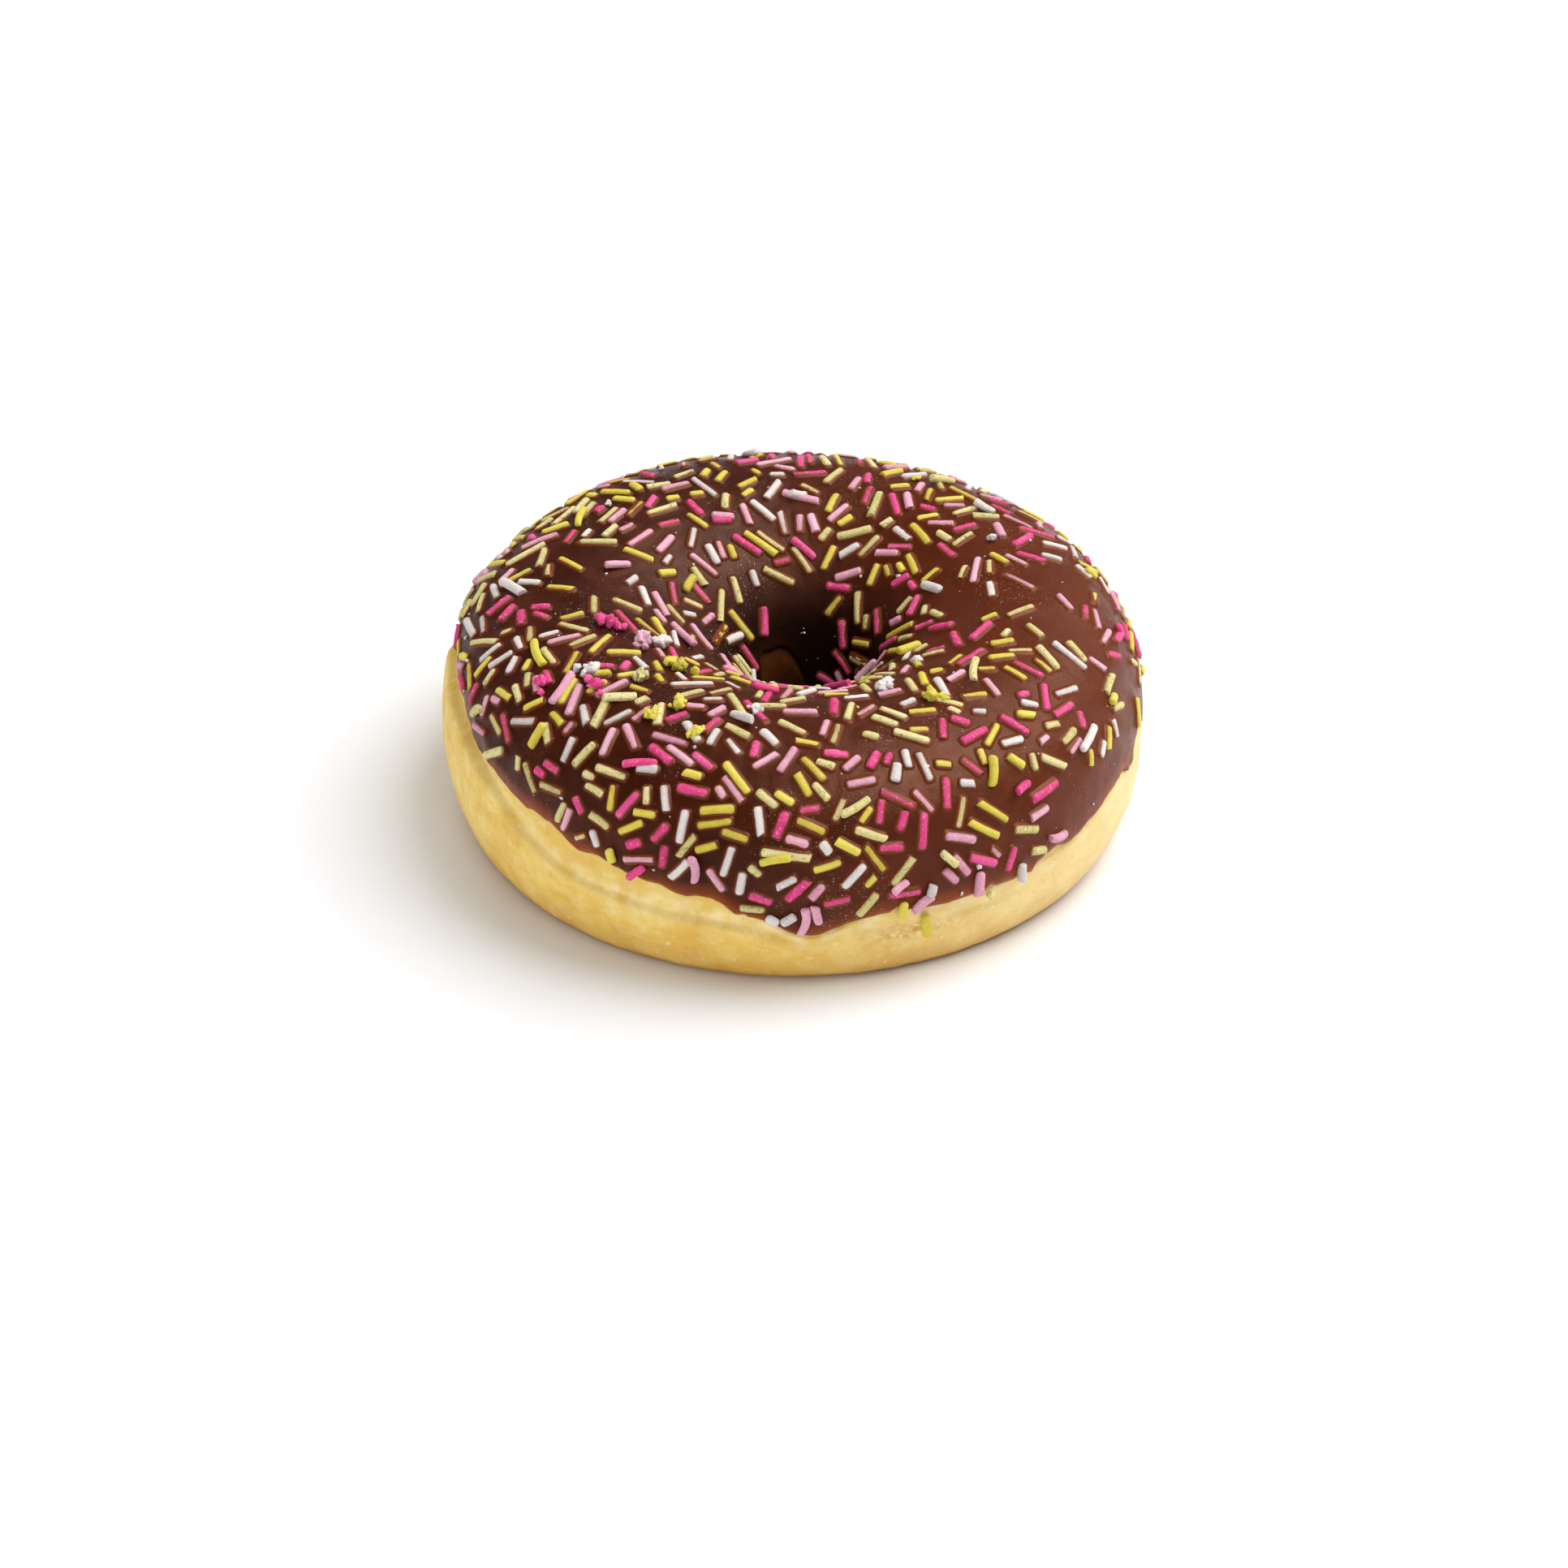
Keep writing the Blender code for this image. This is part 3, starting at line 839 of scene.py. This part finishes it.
def make_sprinkles(placed):
    draw = random.Random(SEED + 1)
    points = {name: [] for name in KINDS}
    faces = {name: [] for name in KINDS}
    tints = {name: [] for name in KINDS}
    films = {name: [] for name in KINDS}
    count = dict.fromkeys(KINDS, 0)

    def keep(name, new_points, new_faces, tint, film):
        points[name].append(new_points)
        faces[name] += new_faces
        tints[name].append(np.full(len(new_points), tint))
        films[name].append(film)
        count[name] += len(new_points)

    for laid in placed:
        rings, tips = sprinkle_points(laid, draw)
        every = np.concatenate([rings.reshape(-1, 3), tips])
        new_faces = sprinkle_faces(len(rings), count[laid.kind])
        keep(laid.kind, every, new_faces, draw.betavariate(2.2, 2.2), film_share(laid, every))
    balls = {level: ball(level) for level in (1, 2, 3)}
    for kind, a, s, size, height, level in crumbs(draw):
        unit, unit_faces = balls[level]
        shifted = [tuple(v + count[kind] for v in f) for f in unit_faces]
        new_points = crumb_points(unit, a, s, size, height, draw)
        keep(kind, new_points, shifted, draw.uniform(0.5, 1.0), np.zeros(len(unit)))
    for name in KINDS:
        made = mesh_object(f"sprinkles_{name}", np.concatenate(points[name]), faces[name])
        attribute(made, "tint", np.concatenate(tints[name]))
        attribute(made, "film", np.concatenate(films[name]))
        made.data.materials.append(sprinkle_material(name))
        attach(made, "root")


# The icing and the dough


def axis_tree(placed):
    """Points along every sprinkle, for finding how near the next one is."""
    marks = np.linspace(0.04, 0.96, 9)
    tree = kdtree.KDTree(len(placed) * len(marks))
    for n, laid in enumerate(placed):
        for k, t in enumerate(marks):
            here = laid.axis[0] + (laid.axis[1] - laid.axis[0]) * t
            tree.insert(Vector(here), n * len(marks) + k)
    tree.balance()
    return tree


def relief(points, tree):
    """How far the icing stands out from its even face: low waves, and a swelling round each sprinkle."""
    flat = points.reshape(-1, 3)
    near = np.array([tree.find(Vector(p))[2] for p in flat])
    swell = SWELL * bell(np.maximum(near - SWELL_START, 0) / SWELL_REACH)
    return (UNDULATION * lumps(flat, 0.008, 2, 2.0) + swell).reshape(points.shape[:-1])


def make_icing(placed, material):
    turns = np.arange(ICING_TURNS) * 2 * math.pi / ICING_TURNS
    a = np.repeat(turns[:, None], ICING_ROWS, axis=1)
    s = np.zeros_like(a)
    outer_ragged, inner_ragged = (
        around(turns, radius, 0.0045, 5.0) * EDGE_RAGGEDNESS / per_s
        for radius, per_s in ((0.045, 17 * MM), (0.008, 14 * MM))
    )
    for n, t in enumerate(turns):
        outer, inner = icing_edges(t)
        s[n] = evenly_along(t, outer + outer_ragged[n], inner + inner_ragged[n], ICING_ROWS)
    points = icing_point(a, s)
    normals = skin_normal(a, s)
    steps = np.linalg.norm(np.diff(points, axis=1), axis=2)
    lengths = np.concatenate([np.zeros((ICING_TURNS, 1)), np.cumsum(steps, axis=1)], axis=1)
    from_edge = np.minimum(lengths, lengths[:, -1:] - lengths)
    rounding = np.clip(from_edge / LIP_ROUNDING, 0, 1)
    lip = -LIP_DROP * (1 - np.sqrt(rounding * (2 - rounding)))
    rise = relief(points, axis_tree(placed)) * smooth_step(from_edge / (0.9 * MM))
    points = points + normals * (rise + lip)[..., None]

    under_rows = 9
    picks = np.linspace(ICING_ROWS - 1, 0, under_rows).round().astype(int)
    share = thickness_share(a[:, picks], s[:, picks], skin(a[:, picks], s[:, picks])[..., 2])
    depth = ICING_THICKNESS * share + GAP + 0.12 * MM
    under = icing_point(a[:, picks], s[:, picks]) - normals[:, picks] * depth[..., None]
    everything = np.concatenate([points, under], axis=1)
    made = band_mesh("icing_coat", everything)
    zeros = np.zeros((ICING_TURNS, under_rows))
    attribute(made, "edge", np.concatenate([from_edge / MM, zeros], axis=1))
    attribute(made, "rim", np.zeros(everything.shape[:2]))
    # Where shade is painted on the icing, far down in the hole.
    attribute(made, "hole_shade", np.concatenate([hole_shade_share(s), zeros], axis=1))
    made.data.materials.append(material)
    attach(made, "root")
    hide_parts("icing")


def collar_outline(length, radius, out):
    """Points round a sprinkle's footprint, out metres outside it: its corners are rounded."""
    corner = 0.6 * radius
    places = []
    for sx, sy, first in ((1, 1, 0), (-1, 1, 90), (-1, -1, 180), (1, -1, 270)):
        for k in range(4):
            turn = math.radians(first + 30 * k)
            x = sx * (length / 2 - corner) + (corner + out) * math.cos(turn)
            places.append((x, sy * (radius - corner) + (corner + out) * math.sin(turn)))
        if sx * sy > 0:
            y = sy * (radius + out)
            places += [(sx * x, y) for x in np.linspace(0.6, -0.6, 3) * (length / 2 - corner)]
    return np.array(places)


def make_collars(placed, material):
    """The icing's little climb up each sprinkle: a low mound round it, its outer edge under the icing."""
    draw = np.random.default_rng(SEED + 2)
    laid = [made for made in placed if made.collared]
    a, s, heading = np.array([(made.a, made.s, made.heading) for made in laid]).T[..., None, None]
    normals = np.array([made.normal for made in laid])[:, None, None]
    along = np.array([made.axis[1] - made.axis[0] for made in laid])
    along /= np.linalg.norm(along, axis=1, keepdims=True)
    sides = np.cross(normals[:, 0, 0], along)[:, None, None]
    spots = np.array(
        [
            [collar_outline(made.length, made.radius * FOOTPRINT, row[0] * MM) for row in COLLAR]
            for made in laid
        ]
    )
    per_a, per_s = local_steps(a, s)
    x, y = spots[..., 0], spots[..., 1]
    cosine, sine = np.cos(heading), np.sin(heading)
    middle = icing_point(a + x * cosine / per_a, s + x * sine / per_s)
    real = icing_point(a + (x * cosine - y * sine) / per_a, s + (x * sine + y * cosine) / per_s)
    drop = ((real - middle) * normals).sum(axis=-1, keepdims=True)
    grounds = np.array([made.ground for made in laid])[:, :, None, None]
    lengths = np.array([made.length for made in laid])[:, None, None]
    line = grounds[:, 0] + (grounds[:, 1] - grounds[:, 0]) * (x / lengths + 0.5)[..., None]
    aside = ((line - middle) * sides).sum(axis=-1)
    base = middle + sides * (y + aside)[..., None] + normals * drop
    height = np.array([row[1] for row in COLLAR])[None, :, None] * MM
    uneven = draw.normal(0, 0.018 * MM, height.shape[:1] + x.shape[1:]) * (height > 0)
    lift = height + uneven + relief(base, axis_tree(placed))
    points = base + normals * lift[..., None]
    count, rows, ring = x.shape
    middles = points[:, 0].mean(axis=1)[:, None]
    points = np.concatenate([points.reshape(count, rows * ring, 3), middles], axis=1)
    faces = []
    for k in range(ring):
        after = (k + 1) % ring
        faces.append((k, after, rows * ring))
        for row in range(rows - 1):
            here, under = row * ring, (row + 1) * ring
            faces.append((here + k, under + k, under + after, here + after))
    size = rows * ring + 1
    every = [tuple(v + n * size for v in face) for n in range(count) for face in faces]
    made = mesh_object("icing_collars", points.reshape(-1, 3), every)
    rims = np.append(np.repeat([row[2] for row in COLLAR], ring), 1.0)
    attribute(made, "rim", np.tile(rims, count))
    attribute(made, "edge", np.full(count * size, 9.0))
    # Where shade is painted on the collars, far down in the hole.
    attribute(made, "hole_shade", np.repeat(hole_shade_share(s.ravel()), size))
    made.data.materials.append(material)
    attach(made, "root")


def make_dough():
    turns = np.arange(DOUGH_TURNS) * 2 * math.pi / DOUGH_TURNS
    shown, hidden, inside, under = 78, 12, 24, 6
    iced, last = shown + hidden, shown + hidden + inside
    a = np.repeat(turns[:, None], last + under, axis=1)
    s = np.zeros_like(a)
    for n, t in enumerate(turns):
        outer, inner = icing_edges(t)
        s[n, :shown] = evenly_along(t, 0, outer + TUCK, shown)
        s[n, shown:iced] = evenly_along(t, outer + TUCK, inner - TUCK, hidden + 2)[1:-1]
        s[n, iced:last] = evenly_along(t, inner - TUCK, 4, inside)
        s[n, last:] = 4
    base = skin(a, s)
    z = base[..., 2]
    normals = skin_normal(a, s)
    flat = base.reshape(-1, 3)
    inset = dough_inset(a, s, z)
    lift = 0.14 * MM * lumps(flat, 0.007, 3, 3.0).reshape(a.shape)
    lift += 0.03 * MM * lumps(flat, 0.0012, 2, 7.0).reshape(a.shape)
    above = z - crease_height(a)
    along_crease = around(turns, 0.047, 0.004, 1.0)[:, None]
    ridge = crease_step(a) / CREASE_STEP
    lift += 0.09 * MM * ridge * bell((above + 0.5 * MM) / (0.45 * MM)) * (1 + along_crease)
    tear = hump(a, TEAR_AZIMUTH, 6.5) * bell((above + 0.3 * MM) / (1.0 * MM))
    crumb = lumps(flat, 0.0009, 3, 4.0).reshape(a.shape)
    lift -= tear * (TEAR_DEPTH - 0.75 * MM * crumb)
    path = above + 3.4 * MM + 0.5 * MM * along_crease
    crack = hump(a, CRACK_AZIMUTH, 10) * bell(path / (0.35 * MM)) * np.clip(0.4 + 1.6 * crumb, 0, 1)
    lift -= CRACK_DEPTH * crack
    low = bell(z / (1.0 * MM)) * np.where(s < 2, 1, 0)
    lift += low * 0.16 * MM * lumps(flat, 0.0016, 2, 8.0).reshape(a.shape)
    foot = smooth_step(z / (1.2 * MM)) * 0.7 + 0.3
    points = base + normals * ((lift - inset) * np.where(s < 4, foot, 0))[..., None]
    points[..., 2] = np.maximum(points[..., 2], 0)
    for k in range(under):
        share = (k + 1) / (under + 1)
        points[:, last + k] = points[:, last - 1] * (1 - share) + points[:, 0] * share
        points[:, last + k, 2] = 0
    made = band_mesh("dough_ring", points)
    attribute(made, "torn", np.clip(tear * (0.7 + 0.5 * crumb) + 0.4 * crack, 0, 1))
    fluff = lumps(flat, 0.0018, 3, 6.0).reshape(a.shape)
    puffed = hump(a, -100, 60) * bell((above - 1.7 * MM) / (1.5 * MM))
    attribute(made, "fluff", puffed * np.clip(0.5 + 0.9 * fluff, 0, 1))
    # Where shade is painted on the dough, inside the hole.
    attribute(made, "inside", smooth_step((s - 2.2) / 0.5))
    made.data.materials.append(dough_material())
    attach(made, "root")
    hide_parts("dough")


# The studio

FLOOR_REACH = 3.0

# The camera, in the photo's pixels: LOOK_AT is seen at the pixel SEEN_AT
IMAGE_SIZE = 1932
FOCAL_PIXELS = 4852.0
ELEVATION = math.radians(32.0)
DISTANCE = 0.540
LOOK_AT = Vector((0, 0, 0.015))
SEEN_AT = (978.0, 862.0)
SENSOR = 36.0


def area_light(name, place, size, power, colour=(1, 1, 1), aim=(0, 0, 0.015)):
    data = bpy.data.lights.new(name, "AREA")
    data.shape = "DISK"
    data.size = size
    data.energy = power
    data.color = colour
    made = bpy.data.objects.new(name, data)
    made.location = place
    made.rotation_euler = (Vector(aim) - Vector(place)).to_track_quat("-Z", "Y").to_euler()
    bpy.context.scene.collection.objects.link(made)
    return made


def make_studio():
    mesh = bpy.data.meshes.new("floor")
    corners = [(x * FLOOR_REACH, y * FLOOR_REACH, 0) for x, y in ((-1, -1), (1, -1), (1, 1), (-1, 1))]
    mesh.from_pydata(corners, [], [(0, 1, 2, 3)])
    floor = bpy.data.objects.new("floor", mesh)
    bpy.context.scene.collection.objects.link(floor)
    n = Nodes("pale_floor")
    n.set(Base_Color=srgb(241, 242, 245), Roughness=0.7, Specular_IOR_Level=0.2)
    floor.data.materials.append(n.material)
    world = bpy.data.worlds.new("studio")
    bpy.context.scene.world = world
    world.use_nodes = True
    tree = world.node_tree
    where, split = tree.nodes.new("ShaderNodeTexCoord"), tree.nodes.new("ShaderNodeSeparateXYZ")
    height = tree.nodes.new("ShaderNodeMapRange")
    for key, value in (("From Max", 0.6), ("To Min", 0.28), ("To Max", 0.1)):
        height.inputs[key].default_value = value
    tree.links.new(where.outputs["Generated"], split.inputs["Vector"])
    tree.links.new(split.outputs["Z"], height.inputs["Value"])
    tree.links.new(height.outputs["Result"], tree.nodes["Background"].inputs["Strength"])
    tree.nodes["Background"].inputs["Color"].default_value = (0.97, 0.98, 1.0, 1)
    area_light("key", (0.6, 0.2, 0.9), 1.1, 15.2, (1.0, 0.99, 0.975))
    cool = (0.985, 0.99, 1.0)
    for fill in (
        area_light("left", (-0.9, -0.45, 0.1), 0.5, 4.3, cool),
        area_light("front", (0.3, -1.0, 0.08), 0.5, 2.6, cool),
        area_light("back", (-0.2, 1.0, 0.25), 0.6, 3.4),
        area_light("top", (-0.1, -0.1, 1.2), 1.6, 6.0, aim=(0, 0, 0)),
    ):
        fill.visible_glossy = False
    area_light("sheen", (0.56, -0.36, 0.98), 0.42, 10.0).visible_diffuse = False
    bpy.context.scene.view_settings.view_transform = "Standard"


def make_camera():
    data = bpy.data.cameras.new("camera")
    made = bpy.data.objects.new("camera", data)
    bpy.context.scene.collection.objects.link(made)
    made.location = LOOK_AT + DISTANCE * Vector((0, -math.cos(ELEVATION), math.sin(ELEVATION)))
    pitch = ELEVATION + math.atan((IMAGE_SIZE / 2 - SEEN_AT[1]) / FOCAL_PIXELS)
    yaw = math.atan((SEEN_AT[0] - IMAGE_SIZE / 2) / FOCAL_PIXELS)
    made.rotation_euler = (math.pi / 2 - pitch, 0, yaw)
    data.sensor_width = SENSOR
    data.lens = FOCAL_PIXELS / IMAGE_SIZE * SENSOR
    data.clip_start, data.clip_end = 0.01, 20.0
    bpy.context.scene.camera = made


placed = scatter()
make_dough()
chocolate = icing_material()
make_icing(placed, chocolate)
make_collars(placed, chocolate)
make_sprinkles(placed)
make_studio()
make_camera()
